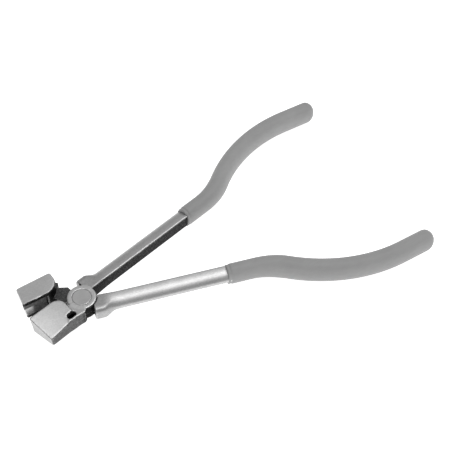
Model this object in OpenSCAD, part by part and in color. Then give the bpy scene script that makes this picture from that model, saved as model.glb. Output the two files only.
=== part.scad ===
// Running pliers for stained glass, 8 inch size.
// Two forged members cross in a half-lap joint and turn on one flush rivet.
// The handles carry dipped vinyl grips.
// Origin: on the pivot axis, in the flat underside of the joint.
// +X points along the handles, the jaws lie towards -X and +Z is up the rivet.
// The near side is -Y and the far side is +Y.

/* [Joint] */
// Thickness of the joint across both halves
joint_h = 8.4; // [7.6:0.2:9.2]
// Radius of the round lap boss on each member
boss_r = 7; // [6.6:0.1:7.4]
// Radius of the rivet's shank
rivet_r = 3; // [2.5:0.1:3.4]
// Radius of the rivet's flush heads
rivet_head_r = 4.5; // [4:0.1:5]
// Thickness of each rivet head
rivet_head_h = 1.4; // [1:0.1:1.8]
// Running clearance round the rivet, on the radius
running_gap = 0.06; // [0.02:0.01:0.1]
// Gap between the two lap faces
lap_gap = 0.06; // [0.04:0.01:0.1]

/* [Jaws] */
// Width of a jaw across its glass face
jaw_w = 12; // [11:0.5:13]
// Width of a jaw's back at the tip
back_w_tip = 5; // [4.6:0.2:6.4]
// Width of a jaw's back at the heel
back_w_heel = 9; // [8:0.2:9.6]
// Depth of the near jaw at its heel, from its glass face to its back
near_depth_heel = 13.2; // [12.6:0.1:13.6]
// Depth of the near jaw at its tip
near_depth_tip = 14.8; // [14.2:0.1:15.4]
// Depth of the far jaw at its heel
far_depth_heel = 11.4; // [11:0.1:12]
// Depth of the far jaw at its tip
far_depth_tip = 12.6; // [12:0.1:13]
// Distance from the pivot to the front end of the jaws
jaw_reach = 25.5; // [24.5:0.1:26]
// Height of the near jaw's glass face over the pivot
near_face = 6.3; // [6:0.1:6.6]
// Height of the far jaw's glass face over the pivot
far_face = 8.9; // [8.7:0.1:9.3]
// Distance along the near jaw from the pivot to its heel
near_heel_x = 8; // [7.6:0.1:8.4]
// Distance along the far jaw from the pivot to its heel
far_heel_x = 6.2; // [5.6:0.1:6.6]
// Angle by which the front ends of the jaws lean back towards the underside
end_lean = 5; // [4:0.5:8]
// Slant of the near jaw, as it stands open
near_cant = 13; // [12.5:0.1:13.5]
// Slant of the far jaw, as it stands open
far_cant = 1.6; // [1.2:0.1:2]
// Width of the channel in the far jaw's face
channel_w = 8; // [7:0.5:9]
// Distance along a jaw from the pivot to the inner end of its crown or channel
face_start = 12.6; // [12.2:0.1:13]
// Radius of the throat at the near jaw's heel
near_throat_r = 4.8; // [4.4:0.1:5.2]
// Radius of the throat at the far jaw's heel
far_throat_r = 7.4; // [7:0.1:7.8]
// Slant of the near jaw's front end, as its set-back at the jaw's back
near_end_slant = 1; // [0.6:0.1:1.4]
// Slant of the far jaw's front end, as its set-back at the jaw's back
far_end_slant = 1.4; // [1:0.1:2]
// Depth of the channel in the far jaw's face
channel_d = 1.3; // [1:0.1:1.5]
// Height of the crown on the near jaw's face
crown_h = 0.9; // [0.5:0.1:1]

/* [Handles] */
// Slant of each handle's straight part
handle_slant = 14.2; // [13.6:0.1:14.8]
// Distance of the handle's straight line from the pivot
handle_offset = 3.7; // [3.4:0.1:3.8]
// Depth of the half-round bar, in the plane of the tool
bar_d = 7.3; // [6.8:0.1:7.4]
// Height of the half-round bar, along the rivet
bar_h = 7.5; // [7:0.1:7.8]
// Distance from the handle's line to the bar's flat side
flat_in = 3; // [2.6:0.1:3.2]
// Distance along the handle from the pivot to the shoulder's end face
shoulder_start = 4.3; // [4:0.1:4.6]
// Length of the shoulder at its full size
shoulder_l = 5; // [4:0.5:6]
// Length over which the shoulder tapers down to the bar
shoulder_taper = 5; // [4:0.5:7]
// Distance from the handle's line to the shoulder's outer side
shoulder_out = 6.8; // [6:0.1:7]
// Distance along the handle from the pivot to the first bend
bend_start = 82.2; // [80:0.1:84]
// Radius of the outward bend
out_bend_r = 39; // [36:1:44]
// Angle of the outward bend
out_bend = 27.3; // [26:0.1:28]
// Radius of the long inward bend
in_bend_r = 81.5; // [78:0.5:85]
// Length of the straight tail after the bends
tail_l = 15.2; // [13:0.1:18]

/* [Grips] */
// Distance along the handle from the pivot to the grip's front edge
grip_start = 69.4; // [67:0.1:72]
// Depth of a grip, in the plane of the tool
grip_d = 9.8; // [9.4:0.1:10.4]
// Height of a grip, along the rivet
grip_h = 12.6; // [12:0.1:13.2]
// Length of the thinner collar at the grip's front edge
collar_l = 1.6; // [1:0.1:2.5]
// How much slimmer the collar is than the grip, on the radius
collar_step = 0.45; // [0.4:0.05:0.5]
// How much slimmer the grip is ahead of its first bend, on the radius
front_step = 0.3; // [0.2:0.05:0.3]

/* [Hidden] */
$fn = 64;
steel = "lightgray";
vinyl = "gray";
mid = joint_h / 2;
relief_gap = 0.3;
relief_r = boss_r + relief_gap;
in_bend = handle_slant + out_bend;
grip_r = grip_d / 2;
// How far each stretch of a handle reaches into the next, in millimetres or degrees
bend_overlap = 0.6;
// The handle's line is followed from a foot beside the pivot
foot = handle_offset * [-sin(handle_slant), cos(handle_slant)];

// ---- Placing things along a handle ----

// A bar of the child's outline, whose own x is outward and y is up the rivet
module bar(length) {
    rotate([90, 0, 90])
        linear_extrude(height = length)
            children();
}

// Turns from the far handle's own line, with x along it, into the tool's axes
module on_handle() {
    translate([foot[0], foot[1], mid])
        rotate([0, 0, handle_slant])
            children();
}

// Moves from the start of the outward bend to its end
module after_out_bend() {
    translate([out_bend_r * sin(out_bend), out_bend_r * (1 - cos(out_bend)), 0])
        rotate([0, 0, out_bend])
            children();
}

// Moves from the start of the inward bend to its end
module after_in_bend() {
    translate([in_bend_r * sin(in_bend), -in_bend_r * (1 - cos(in_bend)), 0])
        rotate([0, 0, -in_bend])
            children();
}

// Three outlines carried along the far handle. Child 0 runs straight from distance
// "from" to the first bend, child 1 through the outward bend and down the tail, and
// child 2 through the inward bend. Neighbours differ a little in thickness and reach
// into each other, so that the stretches join in one solid.
module along_handle(from, tail) {
    on_handle() {
        translate([from, 0, 0])
            bar(bend_start + bend_overlap - from)
                children(0);
        translate([bend_start, out_bend_r, 0])
            rotate([0, 0, -90])
                rotate_extrude(angle = out_bend + bend_overlap, $fn = 180)
                    translate([out_bend_r, 0])
                        mirror([1, 0])
                            children(1);
        translate([bend_start, 0, 0])
            after_out_bend() {
                translate([0, -in_bend_r, 0])
                    rotate([0, 0, 90 - in_bend])
                        rotate_extrude(angle = in_bend, $fn = 180)
                            translate([in_bend_r, 0])
                                children(2);
                after_in_bend()
                    translate([-bend_overlap, 0, 0])
                        bar(tail + bend_overlap)
                            children(1);
            }
    }
}

// Places its children at the far end of the handle's line
module handle_end() {
    on_handle()
        translate([bend_start, 0, 0])
            after_out_bend()
                after_in_bend()
                    translate([tail_l, 0, 0])
                        children();
}

// ---- Outlines across a handle ----

// Half-round: a flat side towards the other handle and half an oval outside
module half_round(depth, height, flat) {
    steps = 14;
    polygon([for (i = [0 : steps])
        let (a = 180 * i / steps - 90)
        [depth * cos(a) - flat, height / 2 * sin(a)]]);
}

// The bar's outline, slimmer all round by "less"
module bar_outline(less) {
    half_round(bar_d - 2 * less, bar_h - 2 * less, flat_in - less);
}

// Oval grip outline, slimmer all round by "less"
module grip_outline(less) {
    r = grip_r - less;
    rise = grip_h / 2 - grip_r;
    for (side = [-1, 1])
        translate([0, side * rise])
            circle(r = r);
    translate([-r, -rise])
        square([2 * r, 2 * rise]);
}

// ---- Pieces of a member ----

// The forged bar of the far handle, from the shoulder into the grip
module handle_bar() {
    bar_start = shoulder_start + shoulder_l + shoulder_taper;
    end_cover = 4;
    out_bend_slim = 0.3;
    in_bend_slim = 0.5;
    along_handle(bar_start, tail_l - end_cover) {
        bar_outline(0);
        bar_outline(out_bend_slim);
        bar_outline(in_bend_slim);
    }
}

// Swelling where the far handle's bar grows into the joint, half-round outside.
// Its crest stays a little below the joint's top face.
module shoulder() {
    crest_drop = 0.3;
    flat_swell = 0.2;
    shoulder_h = joint_h - crest_drop;
    shoulder_flat = flat_in + flat_swell;
    full_d = shoulder_out + shoulder_flat;
    full_end = shoulder_start + shoulder_l;
    step = 0.1;
    overlap = 0.6;
    slice = 0.4;
    bar_cover = 3;
    on_handle() {
        translate([shoulder_start, 0, 0])
            bar(shoulder_l)
                half_round(full_d, shoulder_h, shoulder_flat);
        hull() {
            translate([full_end - overlap, 0, 0])
                bar(slice)
                    half_round(full_d - step, shoulder_h - step, shoulder_flat);
            translate([full_end + shoulder_taper, 0, 0])
                bar(bar_cover)
                    bar_outline(-step);
        }
    }
}

// A jaw's section at "along" from the heel (0) to the tip (1), where it is "depth" deep
function jaw_section(along, depth) =
    let (
        back = (back_w_heel + (back_w_tip - back_w_heel) * along) / 2,
        face = jaw_w / 2,
        edge = 0.7,
        corner = back + 0.2
    )
    [[edge, -face], [depth - edge, -corner], [depth, edge - back],
     [depth, back - edge], [depth - edge, corner], [edge, face],
     [0, face - edge], [0, edge - face]];

// Tapered jaw: full width at the glass face, narrower at the back and most at the tip.
// Its x runs from the pivot to the tip and its y from the glass face to the back.
module jaw_block(heel_x, depth_heel, depth_tip) {
    sections = 4;
    n = len(jaw_section(0, depth_heel));
    points = [for (i = [0 : sections])
        let (
            along = i / sections,
            x = heel_x + (jaw_reach - heel_x) * along,
            depth = depth_heel + (depth_tip - depth_heel) * along
        )
        each [for (p = jaw_section(along, depth)) [x, p[0], p[1]]]];
    sides = [for (i = [0 : sections - 1], j = [0 : n - 1])
        let (a = i * n + j, b = i * n + (j + 1) % n)
        each [[a, a + n, b], [b, a + n, b + n]]];
    heel_cap = [[for (j = [0 : n - 1]) j]];
    tip_cap = [[for (j = [0 : n - 1]) sections * n + n - 1 - j]];
    polyhedron(points, concat(sides, heel_cap, tip_cap));
}

// The jaw's outline seen along the rivet: rounded at the throat and blunt at the tip
module jaw_plan(heel_x, throat_r, depth, end_slant) {
    throat_x = heel_x + throat_r;
    end_x = jaw_reach - end_slant;
    blunt = 1.2;
    past_back = depth + 1;
    translate([throat_x, throat_r])
        circle(r = throat_r);
    polygon([[throat_x, 0], [jaw_reach, 0], [end_x, depth - blunt],
             [end_x - blunt, past_back], [heel_x, past_back], [heel_x, throat_r]]);
}

// One jaw: tapered block cut to its plan, with its front end leaning back below
module jaw(heel_x, throat_r, depth_heel, depth_tip, end_slant) {
    heel_cover = 1;
    difference() {
        intersection() {
            jaw_block(heel_x - heel_cover, depth_heel, depth_tip);
            translate([0, 0, -jaw_w])
                linear_extrude(height = 2 * jaw_w)
                    jaw_plan(heel_x, throat_r, depth_tip, end_slant);
        }
        translate([jaw_reach, -jaw_w / 2, jaw_w / 2])
            rotate([0, end_lean, 0])
                translate([0, 0, -2 * jaw_w])
                    cube([jaw_w, 2 * jaw_w, 3 * jaw_w]);
    }
}

// Shallow crown that runs along the near jaw's glass face
module face_crown(from_x) {
    end_gap = 0.2;
    edge_gap = 0.8;
    root = 1;
    crown_end = jaw_reach - jaw_w * tan(end_lean) - end_gap;
    half_chord = jaw_w / 2 - edge_gap;
    crown_r = (half_chord * half_chord + crown_h * crown_h) / (2 * crown_h);
    intersection() {
        translate([from_x, crown_r - crown_h, 0])
            rotate([0, 90, 0])
                cylinder(r = crown_r, h = crown_end - from_x);
        translate([from_x, -crown_h - root, -jaw_w / 2])
            cube([jaw_reach, crown_h + 2 * root, jaw_w]);
    }
}

// Channel that runs along the far jaw's glass face
module face_channel(from_x) {
    channel_r = (channel_w * channel_w / 4 + channel_d * channel_d) / (2 * channel_d);
    translate([from_x, channel_d - channel_r, 0])
        rotate([0, 90, 0])
            cylinder(r = channel_r, h = jaw_reach);
}

// Turns from jaw axes, with y = 0 at the glass face, into the tool's axes
module near_jaw_axes() {
    translate([0, 0, mid])
        rotate([0, 0, near_cant])
            rotate([0, 0, 180])
                translate([0, -near_face, 0])
                    children();
}

module far_jaw_axes() {
    translate([0, 0, mid])
        rotate([0, 0, far_cant])
            mirror([1, 0, 0])
                translate([0, far_face, 0])
                    children();
}

// Blind slot in the near jaw's cheek, beside the boss
module cheek_slot() {
    slot_r = 1.4;
    slot_l = 4.6;
    slot_floor = -3.6;
    boss_gap = 0.4;
    slot_x = boss_r + boss_gap + slot_r;
    slot_y = 11;
    translate([slot_x, slot_y, slot_floor]) {
        for (x = [0, slot_l - 2 * slot_r])
            translate([x, 0, 0])
                cylinder(r = slot_r, h = jaw_w);
        translate([0, -slot_r, 0])
            cube([slot_l - 2 * slot_r, 2 * slot_r, jaw_w]);
    }
}

// Hole for the rivet with a seat for each head, wider by "gap"
module rivet_hole(gap) {
    cylinder(r = rivet_r + gap, h = 3 * joint_h, center = true);
    translate([0, 0, -joint_h])
        cylinder(r = rivet_head_r + gap, h = joint_h + rivet_head_h + gap);
    translate([0, 0, joint_h - rivet_head_h - gap])
        cylinder(r = rivet_head_r + gap, h = joint_h);
}

// ---- Sub-parts ----

// Upper half of the joint, with the far handle and the near jaw
module crowned_jaw_member() {
    lap_z = mid + lap_gap / 2;
    color(steel)
        difference() {
            union() {
                translate([0, 0, lap_z])
                    cylinder(r = boss_r, h = joint_h - lap_z);
                difference() {
                    union() {
                        shoulder();
                        near_heel();
                        near_jaw_axes()
                            jaw(near_heel_x, near_throat_r, near_depth_heel, near_depth_tip, near_end_slant);
                    }
                    translate([0, 0, -joint_h])
                        cylinder(r = relief_r, h = joint_h + lap_z);
                }
                near_jaw_axes()
                    face_crown(face_start);
                handle_bar();
            }
            rivet_hole(0);
            near_jaw_axes()
                cheek_slot();
        }
}

// Heel that joins the near jaw to the boss
module near_heel() {
    boss_side = [[-1.4, -7.3], [0, 0], [-6.8, -1.2]];
    jaw_side = [[-9.8, -2.6], [-11.2, -9.6]];
    crotch_side = [[-5.6, -8.7], [-2.4, -8.3]];
    linear_extrude(height = joint_h)
        polygon(concat(boss_side, jaw_side, crotch_side));
}

// Lower half of the joint, with the near handle and the far jaw
module channel_jaw_member() {
    lap_z = mid - lap_gap / 2;
    color(steel)
        difference() {
            union() {
                cylinder(r = boss_r, h = lap_z);
                difference() {
                    union() {
                        mirror([0, 1, 0])
                            shoulder();
                        far_jaw_axes()
                            jaw(far_heel_x, far_throat_r, far_depth_heel, far_depth_tip, far_end_slant);
                    }
                    translate([0, 0, lap_z])
                        cylinder(r = relief_r, h = joint_h);
                }
                far_neck(lap_z);
                mirror([0, 1, 0])
                    handle_bar();
            }
            rivet_hole(running_gap);
            far_jaw_axes()
                face_channel(face_start);
        }
}

// Half-thickness neck that joins the far jaw to the boss
module far_neck(height) {
    mouth_side = [[-5.5, 1], [-7.1, 3.4], [-8.9, 5.6], [-10.2, 8.4], [-12.5, 12]];
    jaw_side = [[-12, 18], [-6.5, 17.4]];
    notch_side = [[-5, 15.8], [-6.2, 13.4], [-2, 11.2], [-1, 6.9]];
    linear_extrude(height = height)
        polygon(concat(mouth_side, jaw_side, notch_side));
}

// One-piece rivet, set flush at both ends
module pivot_rivet() {
    color("silver") {
        cylinder(r = rivet_head_r, h = rivet_head_h);
        cylinder(r = rivet_r, h = joint_h);
        translate([0, 0, joint_h - rivet_head_h])
            cylinder(r = rivet_head_r, h = rivet_head_h);
    }
}

// Dipped vinyl grip of the far handle
module grip() {
    rise = grip_h / 2 - grip_r;
    bend_step = 0.1;
    end_r = grip_r - 2 * bend_step;
    difference() {
        union() {
            along_handle(grip_start + collar_l, tail_l) {
                grip_outline(front_step);
                grip_outline(bend_step);
                grip_outline(0);
            }
            on_handle()
                translate([grip_start, 0, 0])
                    bar(2 * collar_l)
                        grip_outline(collar_step);
            handle_end() {
                cylinder(r = end_r, h = 2 * rise, center = true);
                for (side = [-1, 1])
                    translate([0, 0, side * rise])
                        sphere(r = end_r);
            }
        }
        handle_bar();
    }
}

module far_grip() {
    color(vinyl)
        grip();
}

module near_grip() {
    color(vinyl)
        mirror([0, 1, 0])
            grip();
}

channel_jaw_member();
crowned_jaw_member();
pivot_rivet();
far_grip();
near_grip();
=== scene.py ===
import math

import bpy
import numpy as np
from mathutils import Matrix, Quaternion, Vector


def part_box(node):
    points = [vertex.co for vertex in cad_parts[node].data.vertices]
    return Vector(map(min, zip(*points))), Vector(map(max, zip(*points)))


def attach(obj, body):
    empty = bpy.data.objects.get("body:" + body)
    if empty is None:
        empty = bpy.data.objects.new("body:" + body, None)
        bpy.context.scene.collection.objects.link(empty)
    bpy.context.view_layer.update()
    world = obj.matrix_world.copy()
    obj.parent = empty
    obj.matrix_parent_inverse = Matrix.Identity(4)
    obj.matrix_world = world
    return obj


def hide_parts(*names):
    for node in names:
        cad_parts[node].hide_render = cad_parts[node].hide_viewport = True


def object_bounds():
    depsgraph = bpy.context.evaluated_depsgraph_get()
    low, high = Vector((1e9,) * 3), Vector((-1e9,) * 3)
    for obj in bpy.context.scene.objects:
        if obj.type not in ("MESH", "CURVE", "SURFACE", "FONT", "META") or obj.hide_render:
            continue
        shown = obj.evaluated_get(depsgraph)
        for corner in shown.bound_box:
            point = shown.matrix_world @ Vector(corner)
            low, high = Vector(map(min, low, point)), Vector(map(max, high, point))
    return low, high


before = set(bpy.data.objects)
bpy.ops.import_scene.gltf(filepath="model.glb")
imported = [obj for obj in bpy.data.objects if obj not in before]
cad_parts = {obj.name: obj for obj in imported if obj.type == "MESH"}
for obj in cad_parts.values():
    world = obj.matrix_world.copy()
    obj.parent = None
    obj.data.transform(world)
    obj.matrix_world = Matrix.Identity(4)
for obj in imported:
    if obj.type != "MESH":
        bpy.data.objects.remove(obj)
cad_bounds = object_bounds()

# Running pliers for stained glass. Every shape below is worked out in millimetres, in the
# CAD model's own axes: the origin is on the pivot at the underside of the joint, +X runs
# along the handles, the jaws lie towards -X, and the near side is -Y.
MM = 0.001

# ---- Driving dimensions, from the frame where it has them ----

rivet_low, rivet_high = [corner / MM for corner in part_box("pivot_rivet")]
near_grip_low, near_grip_high = [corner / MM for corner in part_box("near_grip")]

JOINT_H = rivet_high.z - rivet_low.z
MID = JOINT_H / 2
RIVET_HEAD_R = rivet_high.x
RIVET_R = 3.0
RIVET_HEAD_H = 1.4
RUNNING_GAP = 0.06
LAP_GAP = 0.06
BOSS_R = 7.0
RELIEF_R = BOSS_R + 0.12

JAW_HALF_W = 6.0
JAW_REACH = 25.5
BACK_HALF_TIP = 2.5
BACK_HALF_HEEL = 4.5
NEAR_FACE = 6.3
NEAR_CANT = math.radians(13)
NEAR_HEEL = 8.0
NEAR_THROAT_R = 4.8
NEAR_DEPTH_HEEL = 13.2
NEAR_DEPTH_TIP = 14.8
NEAR_END_SLANT = 1.0
NEAR_HEEL_CORNERS = [(-6.8, -1.2), (-9.8, -2.6), (-11.2, -9.6), (-5.6, -8.7), (-2.4, -8.3),
                     (-1.4, -7.3), (0, 0)]
POCKET_U = (8.8, 10.6)
POCKET_V = 11.0
POCKET_R = 1.4
POCKET_FLOOR_W = -3.6
FAR_FACE = 8.9
FAR_CANT = math.radians(1.6)
FAR_HEEL = 6.2
FAR_THROAT_R = 7.4
FAR_DEPTH_HEEL = 11.7
FAR_DEPTH_TIP = 12.6
FAR_END_SLANT = 1.4
NECK_CORNERS = [(-5.5, 1), (-7.1, 3.4), (-8.9, 5.6), (-10.2, 8.4), (-12.5, 12), (-12, 18),
                (-6.5, 17.4), (-5, 15.8), (-6.2, 13.4), (-2, 11.2), (-1, 6.9)]
END_LEAN = math.tan(math.radians(5))
CHANNEL_W = 8.0
CHANNEL_D = 1.3
CHANNEL_START = 12.6
CROWN_H = 0.9
CROWN_START = 12.0
CROWN_MARGIN = 0.8
CROWN_END = 1.6
JAW_EDGE_R = 1.2

HANDLE_SLANT = math.radians(14.2)
HANDLE_OFFSET = 3.7
BAR_D = 7.3
BAR_H = 7.5
BAR_FLAT = 3.0
BEND_START = 82.2
OUT_R = 39.0
OUT_BEND = math.radians(27.3)
IN_R = 81.5
IN_BEND = HANDLE_SLANT + OUT_BEND
TAIL = 15.2
SHOULDER_START = 4.3
SHOULDER_OUT = 6.2
SHOULDER_FADE_START = 8.6
SHOULDER_FADE_L = 6.2
SHOULDER_CORNER_R = 3.2
SHOULDER_EXTRA_H = 0.6
BAR_EDGE_R = 0.7
BAR_STOPS_SHORT = 4.0

GRIP_START = 69.4
GRIP_R = 4.88
GRIP_FRONT_R = 4.38
END_ROUND = 4.7
NEAR_GRIP_SHORTER = 1.3
COLLAR_L = 1.7
SWELL_START = 80.0
SWELL_L = 18.0
FRONT_RISE = 0.86
HOLLOW_END = 3.8
HOLLOW_GAP = 0.05
GRIP_RISE = (near_grip_high.z - near_grip_low.z) / 2 - GRIP_R

OUT_END = BEND_START + OUT_R * OUT_BEND
IN_END = OUT_END + IN_R * IN_BEND
HANDLE_END = IN_END + TAIL

# ---- Distance fields ----
# A field gives, for arrays of x, y and z, the distance to a surface, negative inside.


def round_max(a, b, r):
    """What is inside both, with the edge between them rounded to about r."""
    near = np.maximum(r - np.abs(a - b), 0) / r
    return np.maximum(a, b) + near * near * r / 4


def round_min(a, b, r):
    """What is inside either, with a fillet of about r between them."""
    return -round_max(-a, -b, r)


def ease(t):
    t = np.clip(t, 0, 1)
    return t * t * (3 - 2 * t)


def turned(x, y, angle):
    """x and y in axes that are turned by angle."""
    c, s = math.cos(angle), math.sin(angle)
    return c * x + s * y, c * y - s * x


def outline(x, y, corners):
    """Distance to a polygon's edge, negative inside."""
    nearest = np.full(x.shape, np.inf, x.dtype)
    inside = np.zeros(x.shape, bool)
    for i, (ax, ay) in enumerate(corners):
        bx, by = corners[i - 1]
        ex, ey = bx - ax, by - ay
        wx, wy = x - ax, y - ay
        t = np.clip((wx * ex + wy * ey) / (ex * ex + ey * ey), 0, 1)
        nearest = np.minimum(nearest, (wx - ex * t) ** 2 + (wy - ey * t) ** 2)
        crosses = (ay > y) != (by > y)
        if ey:
            inside ^= crosses & (x < ax + ex * (y - ay) / ey)
    return np.sqrt(nearest) * np.where(inside, -1, 1)


def slab(plan, z, low, high, top_r, bottom_r):
    """An outline raised from low to high, with its upper and lower edges rounded."""
    return round_max(round_max(plan, z - high, top_r), low - z, bottom_r)


def handle_axes(x, y):
    """Distance along the far handle's line, and distance outward from it."""
    fx, fy = -HANDLE_OFFSET * math.sin(HANDLE_SLANT), HANDLE_OFFSET * math.cos(HANDLE_SLANT)
    s0, n0 = turned(x - fx, y - fy, HANDLE_SLANT)
    bend_x, bend_y = s0 - BEND_START, OUT_R - n0
    s1 = BEND_START + OUT_R * np.arctan2(bend_x, bend_y)
    n1 = OUT_R - np.hypot(bend_x, bend_y)
    x2, y2 = turned(bend_x - OUT_R * math.sin(OUT_BEND),
                    n0 - OUT_R * (1 - math.cos(OUT_BEND)), OUT_BEND)
    s2 = OUT_END + IN_R * np.arctan2(x2, y2 + IN_R)
    n2 = np.hypot(x2, y2 + IN_R) - IN_R
    x3, y3 = turned(x2 - IN_R * math.sin(IN_BEND), y2 + IN_R * (1 - math.cos(IN_BEND)), -IN_BEND)
    after = [bend_x <= 0, x2 <= 0, x3 <= 0]
    s = np.select(after, [s0, s1, s2], IN_END + x3)
    n = np.select(after, [n0, n1, n2], y3)
    return s, n


def handle(x, y, z):
    """The far handle's bar with the shoulder that it grows from."""
    s, n = handle_axes(x, y)
    fade = ease((s - SHOULDER_FADE_START) / SHOULDER_FADE_L)
    flat = BAR_FLAT + 0.2 * (1 - fade)
    hidden = 0.3 * ease((s - GRIP_START - 1) / 3)
    depth = flat + SHOULDER_OUT + (BAR_D - BAR_FLAT - SHOULDER_OUT) * fade - hidden
    half_h = (BAR_H + SHOULDER_EXTRA_H * (1 - ease((s - 9.5) / 9))) / 2 - hidden
    out = n + flat
    k0 = np.sqrt((out / depth) ** 2 + (z - MID) ** 2 / half_h**2)
    k1 = np.sqrt((out / depth**2) ** 2 + (z - MID) ** 2 / half_h**4)
    oval = k0 * (k0 - 1) / np.maximum(k1, 1e-6)
    block = round_max(np.abs(z - MID) - half_h, out - depth, SHOULDER_CORNER_R)
    oval = oval * fade + block * (1 - fade)
    bar = round_max(oval, -out, BAR_EDGE_R)
    bar = round_max(bar, SHOULDER_START - s, 0.8)
    return round_max(bar, s - HANDLE_END + BAR_STOPS_SHORT, 1.0)


def jaw(u, v, w, heel_u, throat_r, depth_heel, depth_tip, end_slant):
    """A tapered jaw, as its plan and its cheeks. u runs to the tip, v from the glass face to
    the back, and w up."""
    along = np.clip((u - heel_u) / (JAW_REACH - heel_u), 0, 1)
    depth = depth_heel + (depth_tip - depth_heel) * along
    back_half = BACK_HALF_HEEL + (BACK_HALF_TIP - BACK_HALF_HEEL) * along
    half = JAW_HALF_W + (back_half - JAW_HALF_W) * np.clip(v / depth, -0.2, 1.2)
    cheek = (np.abs(w) - half) * 0.96
    throat_u, throat_v = heel_u + throat_r - u, throat_r - v
    corner = np.hypot(np.maximum(throat_u, 0), np.maximum(throat_v, 0))
    in_corner = (throat_u > 0) & (throat_v > 0)
    plan = np.where(in_corner, corner, np.maximum(throat_u, throat_v)) - throat_r
    plan = round_max(plan, v - depth, JAW_EDGE_R)
    end = u - JAW_REACH + end_slant * v / depth + END_LEAN * (JAW_HALF_W - w)
    return round_max(plan, end, JAW_EDGE_R), cheek


def near_jaw_axes(x, y):
    u, v = turned(x, y, NEAR_CANT)
    return -u, NEAR_FACE - v


def far_jaw_axes(x, y):
    u, v = turned(x, y, FAR_CANT)
    return -u, v - FAR_FACE


def boss_hole(x, y, z, gap):
    """The rivet's own space: the bore and the two head seats, larger than it by gap."""
    r = np.hypot(x, y)
    seat_depth = RIVET_HEAD_H + gap
    between = np.minimum(z - seat_depth, JOINT_H - seat_depth - z)
    seats = np.maximum(r - RIVET_HEAD_R - gap, between)
    return np.minimum(r - RIVET_R - gap, seats)


def pocket_plan(u, v):
    """Distance to the rim of the blind slot in the near jaw's cheek."""
    return np.hypot(u - np.clip(u, *POCKET_U), v - POCKET_V) - POCKET_R


def crowned_member(x, y, z):
    """Upper half of the joint, with the far handle and the near jaw."""
    lap = MID + LAP_GAP / 2
    r = np.hypot(x, y)
    u, v = near_jaw_axes(x, y)
    w = z - MID

    heel = outline(x, y, NEAR_HEEL_CORNERS)
    plan, cheek = jaw(u, v, w, NEAR_HEEL, NEAR_THROAT_R, NEAR_DEPTH_HEEL, NEAR_DEPTH_TIP,
                      NEAR_END_SLANT)
    half_chord = JAW_HALF_W - CROWN_MARGIN
    crown_r = (half_chord**2 + CROWN_H**2) / (2 * CROWN_H)
    crown = np.maximum(CROWN_H - w * w / (2 * crown_r), 0) * ease((u - CROWN_START) / CROWN_END)
    crown_ends = round_max(u - JAW_REACH + CROWN_END, CROWN_START - u, 0.3)
    bulge = round_max(np.maximum(-v - crown, v - 2), crown_ends, 0.5)
    body = round_max(np.minimum(plan, bulge), cheek, 0.8)

    pocket = np.maximum(pocket_plan(u, v), POCKET_FLOOR_W - w)

    lower = round_min(slab(heel, z, 0, JOINT_H, 0.5, 0.5), handle(x, y, z), 0.4)
    lower = round_min(lower, body, 0.5)
    lower = round_max(lower, -np.maximum(r - RELIEF_R, z - lap), 0.3)
    plate = slab(round_min(r - BOSS_R, heel, 1.2), z, lap, JOINT_H, 1.0, 0.2)
    whole = round_min(lower, plate, 0.4)
    whole = round_max(whole, -pocket, 0.5)
    return round_max(whole, -boss_hole(x, y, z, 0.02), 0.15)


def channel_member(x, y, z):
    """Lower half of the joint, with the near handle and the far jaw."""
    lap = MID - LAP_GAP / 2
    r = np.hypot(x, y)
    u, v = far_jaw_axes(x, y)
    w = z - MID

    neck = outline(x, y, NECK_CORNERS)
    plan, cheek = jaw(u, v, w, FAR_HEEL, FAR_THROAT_R, FAR_DEPTH_HEEL, FAR_DEPTH_TIP,
                      FAR_END_SLANT)
    channel_r = (CHANNEL_W**2 / 4 + CHANNEL_D**2) / (2 * CHANNEL_D)
    channel = np.hypot(v - CHANNEL_D + channel_r, w) - channel_r
    channel = np.maximum(channel, CHANNEL_START - u)
    body = round_max(plan, cheek, 0.9)
    body = round_max(body, -channel, 0.4)

    upper = round_min(body, handle(x, -y, z), 0.4)
    upper = round_max(upper, -np.maximum(r - RELIEF_R, lap - z), 0.3)
    plate = slab(round_min(r - BOSS_R, neck, 1.2), z, 0, lap, 0.3, 1.0)
    whole = round_min(upper, plate, 0.5)
    return round_max(whole, -boss_hole(x, y, z, RUNNING_GAP), 0.15)


# ---- From a field to a mesh ----

PITCH = 0.32
BLOCK = 8


def sampled(field, low, high):
    """The field on a grid. Blocks of the grid that the surface can't reach aren't worked out."""
    counts = np.ceil((high - low) / (PITCH * BLOCK)).astype(int)
    shape = counts * BLOCK + 1
    middles = [low[i] + (np.arange(counts[i]) + 0.5) * PITCH * BLOCK for i in range(3)]
    mx, my, mz = np.meshgrid(*middles, indexing="ij")
    rough = field(mx, my, mz)
    values = np.empty(shape, np.float32)
    values[:-1, :-1, :-1] = np.repeat(np.repeat(np.repeat(rough, BLOCK, 0), BLOCK, 1), BLOCK, 2)
    values[-1], values[:, -1], values[:, :, -1] = 9, 9, 9
    steps = np.arange(BLOCK + 1)
    reach = PITCH * BLOCK * 1.25
    blocks = np.argwhere(np.abs(rough) < reach)
    for chunk in np.array_split(blocks, max(len(blocks) // 400, 1)):
        ix = chunk[:, 0, None, None, None] * BLOCK + steps[None, :, None, None]
        iy = chunk[:, 1, None, None, None] * BLOCK + steps[None, None, :, None]
        iz = chunk[:, 2, None, None, None] * BLOCK + steps[None, None, None, :]
        ix, iy, iz = np.broadcast_arrays(ix, iy, iz)
        values[ix, iy, iz] = field(low[0] + ix * PITCH, low[1] + iy * PITCH, low[2] + iz * PITCH)
    return values


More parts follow.
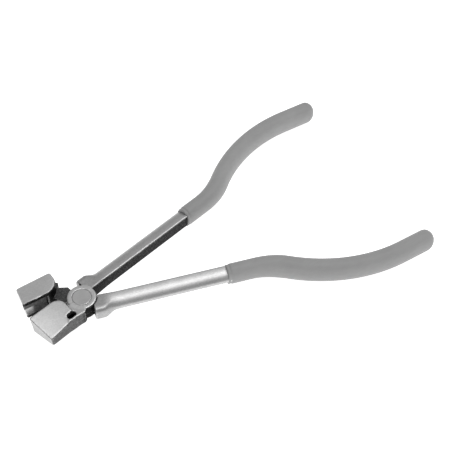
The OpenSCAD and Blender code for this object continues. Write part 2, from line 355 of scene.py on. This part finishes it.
def netted(values, low):
    """Points and quads of the surface where the sampled field is zero, one point a cell."""
    inside = values < 0
    corners = [(i, j, k) for i in (0, 1) for j in (0, 1) for k in (0, 1)]
    n = [size - 1 for size in values.shape]
    count = sum(inside[i:i + n[0], j:j + n[1], k:k + n[2]].astype(np.int8) for i, j, k in corners)
    cells = np.argwhere((count > 0) & (count < 8))
    number = np.full(n, -1, np.int32)
    number[tuple(cells.T)] = np.arange(len(cells))
    total = np.zeros((len(cells), 3))
    hits = np.zeros(len(cells))
    for a in corners:
        for axis in range(3):
            if a[axis]:
                continue
            b = list(a)
            b[axis] = 1
            va = values[tuple((cells + a).T)].astype(float)
            vb = values[tuple((cells + b).T)].astype(float)
            cut = (va < 0) != (vb < 0)
            t = np.where(cut, va / np.where(cut, va - vb, 1), 0)
            point = np.array(a, float) + t[:, None] * (np.array(b) - a)
            total += np.where(cut[:, None], point, 0)
            hits += cut
    points = low + (cells + total / hits[:, None]) * PITCH
    quads = []
    for axis in range(3):
        one, two = [i for i in range(3) if i != axis]
        first = [slice(1, -1)] * 3
        second = [slice(1, -1)] * 3
        first[axis], second[axis] = slice(0, -1), slice(1, None)
        here, there = inside[tuple(first)], inside[tuple(second)]
        at = np.argwhere(here != there)
        out = here[tuple(at.T)]
        at[:, one] += 1
        at[:, two] += 1
        ring = []
        for d1, d2 in ((0, 0), (1, 0), (1, 1), (0, 1)):
            cell = at.copy()
            cell[:, one] -= d1
            cell[:, two] -= d2
            ring.append(number[tuple(cell.T)])
        ring = np.stack(ring, 1)
        flip = out if axis != 1 else ~out
        quads.append(np.where(flip[:, None], ring, ring[:, ::-1]))
    return points, np.concatenate(quads)


def slope(field, points, step=0.05):
    """The field's gradient at the points."""
    parts = []
    for axis in range(3):
        shift = np.zeros(3)
        shift[axis] = step
        parts.append(field(*(points + shift).T) - field(*(points - shift).T))
    return np.stack(parts, 1) / (2 * step)


def settled(field, points):
    """The points moved onto the surface itself."""
    for _ in range(3):
        lean = slope(field, points)
        size = np.maximum((lean**2).sum(1), 0.25)
        move = -lean * (field(*points.T) / size)[:, None]
        length = np.maximum(np.linalg.norm(move, axis=1), 1e-9)
        points = points + move * np.minimum(1, 0.3 * PITCH / length)[:, None]
    return points


def new_object(name, points, faces):
    mesh = bpy.data.meshes.new(name)
    mesh.from_pydata((np.asarray(points) * MM).tolist(), [], faces)
    mesh.update()
    mesh.shade_smooth()
    made = bpy.data.objects.new(name, mesh)
    bpy.context.scene.collection.objects.link(made)
    return made


def mark(made, name, values):
    """Stores a number at each of the object's points, for its material."""
    layer = made.data.attributes.new(name, "FLOAT", "POINT")
    layer.data.foreach_set("value", np.asarray(values, np.float32))


def convex_edges(field, points, reach=0.3):
    """1 along the surface's outer edges and 0 where it is flat or hollow."""
    around = sum(field(*(points + side * reach * axis).T) for axis in np.eye(3) for side in (-1, 1))
    return ease((around - 6 * field(*points.T)) / reach**2 - 0.35)


def forging(name, field, finish_and_painted_light, node):
    """A member's mesh with values at each point for its material: its ground-bright and black
    surfaces with painted light and shade laid over them (1 is ground bright, 0 is black or the
    darkest painted shade), and a painted highlight along its outer edges.
    """
    low, high = [np.array(corner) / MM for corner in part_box(node)]
    margin = 2 * PITCH
    values = sampled(field, low - margin, high + margin)
    points, quads = netted(values, low - margin)
    points = settled(field, points)
    made = new_object(name, points, quads.tolist())
    normals = slope(field, points)
    normals /= np.linalg.norm(normals, axis=1)[:, None]
    mark(made, "finish_and_painted_light", finish_and_painted_light(points, normals))
    # The outer edges are marked for a painted highlight.
    mark(made, "painted_edge_highlight", convex_edges(field, points))
    return made


def facing(normals, direction, start=0.45, end=0.8):
    """1 where a surface faces that way, 0 where it doesn't."""
    return ease((normals @ np.array(direction) - start) / (end - start))


def inner_flat(normals, s, side):
    """Where a handle's flat side shows, towards the other handle."""
    inward = (math.sin(HANDLE_SLANT), -side * math.cos(HANDLE_SLANT), 0)
    return facing(normals, inward, 0.75, 0.95) * ease((s - 6) / 2)


def ends(x, low, high, soft=0.5):
    """1 between low and high, fading out over a soft distance beyond each."""
    return ease((x - low) / soft + 1) * ease((high - x) / soft + 1)


def bar_painted_light(s):
    """A handle's tone, lighter along the bar and darker at the shoulder: painted light and shade.
    """
    return 0.47 + 0.11 * ease((s - 10) / 8)


# How black the handles' flat sides are, and how deep the painted shade round the boss is.
FLAT_DARK = 0.88
WALL_SHADE = 2.2


def crowned_finish_and_painted_light(points, normals):
    """The crowned member's tones, set against the photo: lighter and darker by region as painted
    light and shade, painted shade between the jaws, round the boss, on the lap face, in the slots
    and on the jaw's outer side and end, and the black of the handle's flat side.
    """
    x, y, z = points.T
    r = np.hypot(x, y)
    u, v = near_jaw_axes(x, y)
    s, _ = handle_axes(x, y)
    up = normals[:, 2]
    # The upward-facing part of the jaw's cheek, painted a little darker below: painted shade.
    cheek = ease((u - 8) / 1.5) * ease((up - 0.7) / 0.2)
    # Tones by region are painted light and shade: each part of the one steel gets the brightness
    # that the light gives it.
    tone = np.where(s > SHOULDER_START, bar_painted_light(s), 0.62)
    tone = np.where(x < 0, 0.58 - 0.02 * cheek, tone)
    tone = np.where(r < BOSS_R, 0.66, tone)
    to_glass = (-math.sin(NEAR_CANT), math.cos(NEAR_CANT), 0)
    # Painted shade on the faces inside the mouth, between the jaws.
    mouth_shade = facing(normals, to_glass, 0.3, 0.6) * ease((u - 6) / 1.5) * ease((6 - v) / 2)
    # Painted shade on the side faces round the boss, where the two members meet.
    boss_wall_shade = (1 - np.abs(up)) * ease((8.6 - r) / 0.8) * ease((r - 5) / 1) * ease((x + 7) / 3)
    # Painted shade on the lap face between the two members.
    lap = facing(normals, (0, 0, -1)) * ease((12 - r) / 3) * ease((z - 2) / 1)
    # Painted shade in the slot beside the boss, where one member passes under the other.
    notch_shade = facing(normals, (0.85, -0.5, 0)) * ease((x + 4) / 1) * ease((2 - x) / 1)
    # Painted shade in the blind slot in the jaw's cheek.
    pocket = ease((0.5 - pocket_plan(u, v)) / 0.5) * ease((7 - z) / 0.5)
    flat = FLAT_DARK * inner_flat(normals, s, 1)
    # The handle's flat side is black; everything else in this list is painted shade.
    dark = [mouth_shade, ease(boss_wall_shade * WALL_SHADE), lap, notch_shade, 0.86 * pocket, flat]
    from_glass = (math.sin(NEAR_CANT), -math.cos(NEAR_CANT), 0)
    # Painted shade on the jaw's outer side, which faces away from the lamps.
    side_shade = facing(normals, from_glass) * ease((-2 - x) / 1)
    to_tip = (-math.cos(NEAR_CANT), -math.sin(NEAR_CANT), 0)
    # A little painted shade on the jaw's end face.
    front = facing(normals, to_tip) * ease((u - 20) / 1)
    return tone * (1 - np.max(dark, axis=0)) * (1 - 0.72 * side_shade) * (1 - 0.1 * front)


def channel_finish_and_painted_light(points, normals):
    """The channel member's tones, set against the photo: lighter and darker by region as painted
    light and shade, painted shade between the jaws, on the neck under the other member, round the
    boss, on the lap face and on the jaw's back and outer side, a painted patch of light in the
    channel, and the black of the handle's flat side.
    """
    x, y, z = points.T
    r = np.hypot(x, y)
    u, v = far_jaw_axes(x, y)
    w = z - MID
    s, _ = handle_axes(x, -y)
    # Tones by region are painted light and shade: the jaw and the handle get the brightness that
    # the light gives them.
    tone = np.where(x < 0, 0.8, bar_painted_light(s))
    # Painted shade on the faces inside the mouth, between the jaws.
    mouth_shade = facing(normals, (0, -1, 0), 0.1, 0.35) * ease((9 - v) / 1) * ease((u - 4) / 1)
    # The channel, and a patch in it lit from above through the gap between the jaws: painted light.
    channel = ends(w, -3.6, 3.6) * ease((1.6 - v) / 0.3) * ease((u - 12.8) / 1)
    bright = ends(w, -3.2, -0.5, 0.9) * ease((u - 19.5) / 2)
    up = normals[:, 2]
    # Painted shade on the neck, under the other member's plate.
    neck = ease((y - 3) / 1) * ease((MID + 0.3 - z) / 0.1) * ease((up + 0.7) / 0.2)
    neck = neck * ease((-1 - x) / 1) * ease((9 - v) / 1) * ease((12.4 - u) / 1)
    # Painted shade on the side faces round the boss.
    boss_wall_shade = (1 - np.abs(up)) * ease((8.6 - r) / 0.8)
    # Painted shade on the back of the jaw, facing the handles.
    back_shade = facing(normals, (1, 0, 0), 0.3, 0.6) * ease((y - 6) / 1) * ease((-4 - x) / 1)
    # Painted shade on the lap face, under the other member.
    lap = facing(normals, (0, 0, 1)) * ease((RELIEF_R + 0.5 - r) / 0.5)
    # The painted shade between the jaws is lifted in the channel, and lifted most on the lit patch:
    # painted light.
    mouth_shade = mouth_shade * (1 - channel * (0.2 + 0.65 * bright))
    # The neck's painted shade is deeper where it faces less upward.
    neck = (0.84 + 0.12 * ease((0.6 - up) / 0.3)) * neck
    flat = FLAT_DARK * inner_flat(normals, s, -1)
    # The handle's flat side is black; everything else in this list is painted shade.
    dark = [mouth_shade, neck, ease(boss_wall_shade * WALL_SHADE), back_shade, flat, lap]
    # Painted shade on the jaw's outer side, which faces away from the lamps.
    side_shade = facing(normals, (0, 1, 0)) * ease((-2 - x) / 1)
    return tone * (1 - np.max(dark, axis=0)) * (1 - 0.6 * side_shade)


crowned = forging("crowned_forging", crowned_member, crowned_finish_and_painted_light, "crowned_jaw_member")
channel = forging("channel_forging", channel_member, channel_finish_and_painted_light, "channel_jaw_member")

# ---- Grips and rivet: rings of points joined one to the next ----


def looped(name, rings, first, last):
    """A closed mesh through the rings, with a point at each end. Rings run the same way round."""
    count = len(rings[0])
    points = np.concatenate([*rings, [first, last]])
    faces = []
    for i in range(len(rings) - 1):
        for j in range(count):
            k = (j + 1) % count
            faces.append((i * count + j, i * count + k, (i + 1) * count + k, (i + 1) * count + j))
    low, high = len(points) - 2, len(points) - 1
    top = (len(rings) - 1) * count
    for j in range(count):
        k = (j + 1) % count
        faces.append((low, k, j))
        faces.append((high, top + j, top + k))
    return new_object(name, points, faces)


def handle_line():
    """Points of the far handle's line, with the distance along it and its heading at each."""
    step = 0.1
    s = np.arange(0, HANDLE_END + GRIP_R + step, step)
    middle = s[:-1] + step / 2
    heading = (HANDLE_SLANT + np.clip((middle - BEND_START) / OUT_R, 0, OUT_BEND)
               - np.clip((middle - OUT_END) / IN_R, 0, IN_BEND))
    x = np.concatenate([[0], np.cumsum(np.cos(heading) * step)])
    y = np.concatenate([[0], np.cumsum(np.sin(heading) * step)])
    x = x - HANDLE_OFFSET * math.sin(HANDLE_SLANT)
    y = y + HANDLE_OFFSET * math.cos(HANDLE_SLANT)
    return s, x, y, np.append(heading, heading[-1])


# The collar's profile: distance ahead of the collar's end, and how much less its radius is.
ROLLED_EDGE = ((0.3, 0.02), (0.0, 0.12), (-0.3, 0.2), (-0.7, 0.14), (-1.1, 0.1), (-1.4, 0.14),
               (-1.6, 0.24))


def grip(name, side, end):
    """The dipped grip of one handle: outside from its rounded end to its rolled front edge,
    and then back along the hollow round the bar."""
    s_line, x_line, y_line, heading = handle_line()
    around = np.linspace(0, 2 * math.pi, 56, endpoint=False)
    across, up = np.cos(around), np.sin(around)
    rings = []

    def ring(s, outward, upward):
        a = np.interp(s, s_line, heading)
        x = np.interp(s, s_line, x_line) - outward * math.sin(a)
        y = np.interp(s, s_line, y_line) + outward * math.cos(a)
        rings.append(np.stack([x, side * y, MID + upward], 1))

    def oval(s, r, rise):
        ring(s, r * across, r * up + rise * (1.5 * up - 0.5 * up**3))

    for turn in np.linspace(0.06, 1, 12)[:-1] * math.pi / 2:
        r = GRIP_R * math.sin(turn) ** 0.92
        oval(end + END_ROUND * math.cos(turn), r, GRIP_RISE * math.sin(turn))
    collar_end = GRIP_START + COLLAR_L
    for s in np.linspace(end, collar_end + 0.6, 110):
        swell = ease((s - SWELL_START) / SWELL_L)
        r = GRIP_FRONT_R + (GRIP_R - GRIP_FRONT_R) * swell
        oval(s, r, GRIP_RISE * (FRONT_RISE + (1 - FRONT_RISE) * swell))
    front_rise = GRIP_RISE * FRONT_RISE
    for ahead, less in ROLLED_EDGE:
        oval(collar_end + ahead, GRIP_FRONT_R - less, front_rise - 2 * less)
    flat_side = across < 0
    hollow_s = np.linspace(GRIP_START + 3, HANDLE_END - HOLLOW_END, 90)
    for s in (GRIP_START, GRIP_START + 0.3, *hollow_s):
        slack = HOLLOW_GAP - 0.3 * ease((s - GRIP_START - 1) / 3)
        round_side = (BAR_D + slack) * across - BAR_FLAT
        outward = np.where(flat_side, -BAR_FLAT - HOLLOW_GAP, round_side)
        ring(s, outward, (BAR_H / 2 + slack) * up)

    def on_line(s):
        return np.array([np.interp(s, s_line, x_line), side * np.interp(s, s_line, y_line), MID])

    # The far grip's rings run the other way round, so that both grips' faces look outward.
    rings = [r[::-side] for r in rings]
    return looped(name, rings, on_line(end + END_ROUND), on_line(HANDLE_END - HOLLOW_END))


def rivet():
    """The rivet, turned: two flush heads with a faint rim and a slight dish, and the shank."""
    head, rim, dish = RIVET_HEAD_R - 0.02, 0.25, 0.05
    half = [(0.9, dish), (2.0, 0.045), (3.1, 0.03), (3.7, 0.01), (head - rim - 0.1, 0),
            (head - rim, 0.0), (head - 0.1, 0.06), (head, 0.2), (head, RIVET_HEAD_H),
            (RIVET_R, RIVET_HEAD_H)]
    profile = half + [(r, JOINT_H - z) for r, z in reversed(half)]
    around = np.linspace(0, 2 * math.pi, 128, endpoint=False)
    across, along = np.cos(around), np.sin(around)
    rings = [np.stack([r * across, r * along, np.full(around.shape, z)], 1) for r, z in profile]
    low, high = np.array([0, 0, dish]), np.array([0, 0, JOINT_H - dish])
    return looped("turned_rivet", rings, low, high)


far_vinyl = grip("far_dipped_grip", 1, HANDLE_END)
near_vinyl = grip("near_dipped_grip", -1, HANDLE_END - NEAR_GRIP_SHORTER)
turned_rivet = rivet()

# ---- Materials ----

BRIGHT_STEEL = 0.8
RIVET_STEEL = 0.5
BLACK_FINISH_AND_SHADE = 0.006
VINYL_GREY = 0.305


def node(tree, kind, inputs=(), **settings):
    """A new node. inputs gives its sockets values, or links to other nodes' outputs."""
    made = tree.nodes.new(kind)
    for name, value in settings.items():
        setattr(made, name, value)
    for socket, value in dict(inputs).items():
        if isinstance(value, bpy.types.NodeSocket):
            tree.links.new(value, made.inputs[socket])
        else:
            made.inputs[socket].default_value = value
    return made


def grain(tree, stretch, detail):
    """Noise in the object's own metres, with a number of spots a metre along each axis."""
    place = node(tree, "ShaderNodeTexCoord").outputs["Object"]
    spread = node(tree, "ShaderNodeMapping", {"Vector": place, "Scale": stretch})
    return node(tree, "ShaderNodeTexNoise", {"Vector": spread.outputs["Vector"], "Scale": 1.0,
                                             "Detail": detail, "Roughness": 0.6}).outputs["Fac"]


def span(tree, value, from_low, from_high, low, high):
    """The value carried from one range to another, and held there."""
    limits = {"From Min": from_low, "From Max": from_high, "To Min": low, "To Max": high}
    return node(tree, "ShaderNodeMapRange", {"Value": value, **limits}).outputs["Result"]


def times(tree, a, b):
    return node(tree, "ShaderNodeMath", {0: a, 1: b}, operation="MULTIPLY").outputs["Value"]


def plus(tree, a, b):
    return node(tree, "ShaderNodeMath", {0: a, 1: b}, operation="ADD").outputs["Value"]


def material(name):
    made = bpy.data.materials.new(name)
    made.use_nodes = True
    made.node_tree.nodes.clear()
    tree = made.node_tree
    shader = tree.nodes.new("ShaderNodeBsdfPrincipled")
    output = tree.nodes.new("ShaderNodeOutputMaterial")
    tree.links.new(shader.outputs["BSDF"], output.inputs["Surface"])
    return made, tree, shader


def grey(tree, value):
    """The value as a colour."""
    made = node(tree, "ShaderNodeCombineColor", {"Red": value, "Green": value, "Blue": value})
    return made.outputs["Color"]


def steel_material(name, with_painted_light):
    """Forged steel, ground bright and left black by turns, with painted light and shade and a
    painted highlight on the outer edges laid over it, as the member's point values say.
    """
    made, tree, shader = material(name)
    lines = grain(tree, (300, 5200, 5200), 4)
    cloud = grain(tree, (160, 160, 160), 3)
    scale = grain(tree, (1500, 1500, 1500), 3)
    brushed = span(tree, lines, 0.3, 0.7, 0.93, 1.05)
    tone = times(tree, brushed, span(tree, cloud, 0.3, 0.7, 0.94, 1.05))
    bright = times(tree, tone, BRIGHT_STEEL if with_painted_light else RIVET_STEEL)
    roughness = span(tree, cloud, 0.3, 0.7, 0.34, 0.42)
    metal = 1.0
    if with_painted_light:
        # The point value holds the ground-bright and black surfaces and the painted light and shade
        # laid over them.
        mark = node(tree, "ShaderNodeAttribute", attribute_name="finish_and_painted_light").outputs["Fac"]
        # The outer edges are lightened at random strengths: a painted highlight.
        edge_highlight = node(tree, "ShaderNodeAttribute", attribute_name="painted_edge_highlight").outputs["Fac"]
        edge_highlight = times(tree, edge_highlight, span(tree, scale, 0.35, 0.65, 0.02, 0.16))
        mark = plus(tree, plus(tree, mark, edge_highlight), span(tree, scale, 0.3, 0.7, -0.05, 0.05))
        # This black is both the black of the handles' flat sides and the painted shade in gaps and
        # hollows.
        black = times(tree, span(tree, scale, 0.3, 0.7, 0.6, 1.6), BLACK_FINISH_AND_SHADE)
        mark = span(tree, mark, 0.05, 0.95, 0, 1)
        bright = node(tree, "ShaderNodeMix", {"Factor": mark, 2: black, 3: bright}).outputs[0]
        roughness = span(tree, mark, 0, 1, 0.55, 0.38)
        metal = span(tree, mark, 0, 0.25, 0, 1)
    tree.links.new(grey(tree, bright), shader.inputs["Base Color"])
    tree.links.new(roughness, shader.inputs["Roughness"])
    if with_painted_light:
        tree.links.new(metal, shader.inputs["Metallic"])
    else:
        shader.inputs["Metallic"].default_value = metal
    shader.inputs["Specular IOR Level"].default_value = 0.06
    height = plus(tree, times(tree, lines, 0.4), times(tree, scale, 0.6))
    bump = node(tree, "ShaderNodeBump", {"Height": height, "Strength": 0.12, "Distance": 0.00005})
    tree.links.new(bump.outputs["Normal"], shader.inputs["Normal"])
    return made


steel = steel_material("forged_steel", True)
rivet_steel = steel_material("rivet_steel", False)
for piece in (crowned, channel):
    piece.data.materials.append(steel)
turned_rivet.data.materials.append(rivet_steel)


def vinyl_material():
    """Matt grey vinyl: a slightly pebbled skin, handled smoother and darker in places."""
    made, tree, shader = material("grey_vinyl")
    pebble = grain(tree, (1400, 1400, 1400), 2)
    cloud = grain(tree, (60, 60, 60), 3)
    rubbed = grain(tree, (220, 900, 900), 4)
    clouded = span(tree, cloud, 0.3, 0.7, 0.94, 1.06)
    tone = times(tree, clouded, span(tree, rubbed, 0.3, 0.7, 0.97, 1.03))
    tone = times(tree, tone, VINYL_GREY)
    tree.links.new(grey(tree, tone), shader.inputs["Base Color"])
    tree.links.new(span(tree, cloud, 0.3, 0.7, 0.55, 0.68), shader.inputs["Roughness"])
    height = plus(tree, times(tree, pebble, 0.7), times(tree, rubbed, 0.3))
    bump = node(tree, "ShaderNodeBump", {"Height": height, "Strength": 0.15, "Distance": 0.00008})
    tree.links.new(bump.outputs["Normal"], shader.inputs["Normal"])
    return made


vinyl = vinyl_material()
for piece in (far_vinyl, near_vinyl):
    piece.data.materials.append(vinyl)

for piece, cad_node, body, slot in (
        (crowned, "crowned_jaw_member", "crowned_member", "forged_steel"),
        (channel, "channel_jaw_member", "channel_member", "forged_steel"),
        (turned_rivet, "pivot_rivet", "crowned_member", "rivet_steel"),
        (far_vinyl, "far_grip", "crowned_member", "grip_vinyl"),
        (near_vinyl, "near_grip", "channel_member", "grip_vinyl")):
    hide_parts(cad_node)
    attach(piece, body)

# ---- Floor, lights and camera ----

FLOOR_Z = cad_bounds[0].z
FLOOR_HALF = 3
floor_mesh = bpy.data.meshes.new("floor")
floor_corners = [(i * FLOOR_HALF, j * FLOOR_HALF, FLOOR_Z)
                 for i, j in ((-1, -1), (1, -1), (1, 1), (-1, 1))]
floor_mesh.from_pydata(floor_corners, [], [(0, 1, 2, 3)])
floor = bpy.data.objects.new("floor", floor_mesh)
bpy.context.scene.collection.objects.link(floor)
pale, _, shader = material("pale_floor")
shader.inputs["Base Color"].default_value = (0.9, 0.9, 0.9, 1)
shader.inputs["Roughness"].default_value = 0.9
shader.inputs["Specular IOR Level"].default_value = 0
shader.inputs["Emission Color"].default_value = (1, 1, 1, 1)
shader.inputs["Emission Strength"].default_value = 0.8
floor.data.materials.append(pale)

world = bpy.data.worlds.new("studio")
bpy.context.scene.world = world
world.use_nodes = True
world.node_tree.nodes["Background"].inputs["Color"].default_value = (1, 1, 1, 1)
world.node_tree.nodes["Background"].inputs["Strength"].default_value = 0.44


def bearing(azimuth, elevation):
    """A unit vector: azimuth 0 is the near side (-Y), 90 the handles' end (+X)."""
    a, e = math.radians(azimuth), math.radians(elevation)
    return Vector((math.sin(a) * math.cos(e), -math.cos(a) * math.cos(e), math.sin(e)))


def softbox(name, azimuth, elevation, distance, size, power):
    """An area lamp over the tool, with its long side along X."""
    lamp = bpy.data.lights.new(name, "AREA")
    lamp.shape = "RECTANGLE"
    lamp.size, lamp.size_y = size
    lamp.energy = power
    made = bpy.data.objects.new(name, lamp)
    away = bearing(azimuth, elevation)
    made.location = Vector((0.05, 0, 0)) + away * distance
    made.rotation_mode = "QUATERNION"
    long_side = (Vector((1, 0, 0)) - away * away.x).normalized()
    turn = Matrix((long_side, away.cross(long_side), away)).transposed()
    made.rotation_quaternion = turn.to_quaternion()
    bpy.context.scene.collection.objects.link(made)


softbox("key_strip", 64, 77, 1.1, (1.2, 0.09), 5.6)
softbox("back_fill", 140, 50, 1.3, (1.0, 1.0), 0.8)

# The camera looks down at the tool from in front of the jaws' near side.
CAMERA_AZIMUTH = -34.3
CAMERA_ELEVATION = 50.4
CAMERA_ROLL = 3.1
CAMERA_DISTANCE = 0.457
CAMERA_LENS = 72.7
aim = Vector((82.2, 6.0, MID)) * MM
camera_data = bpy.data.cameras.new("camera")
camera = bpy.data.objects.new("camera", camera_data)
bpy.context.scene.collection.objects.link(camera)
camera_data.lens = CAMERA_LENS
camera_data.clip_start, camera_data.clip_end = 0.01, 10
back = bearing(CAMERA_AZIMUTH, CAMERA_ELEVATION)
camera.location = aim + back * CAMERA_DISTANCE
camera.rotation_mode = "QUATERNION"
roll = Quaternion((0, 0, 1), math.radians(CAMERA_ROLL))
camera.rotation_quaternion = (-back).to_track_quat("-Z", "Y") @ roll
bpy.context.scene.camera = camera
bpy.context.scene.view_settings.view_transform = "Standard"
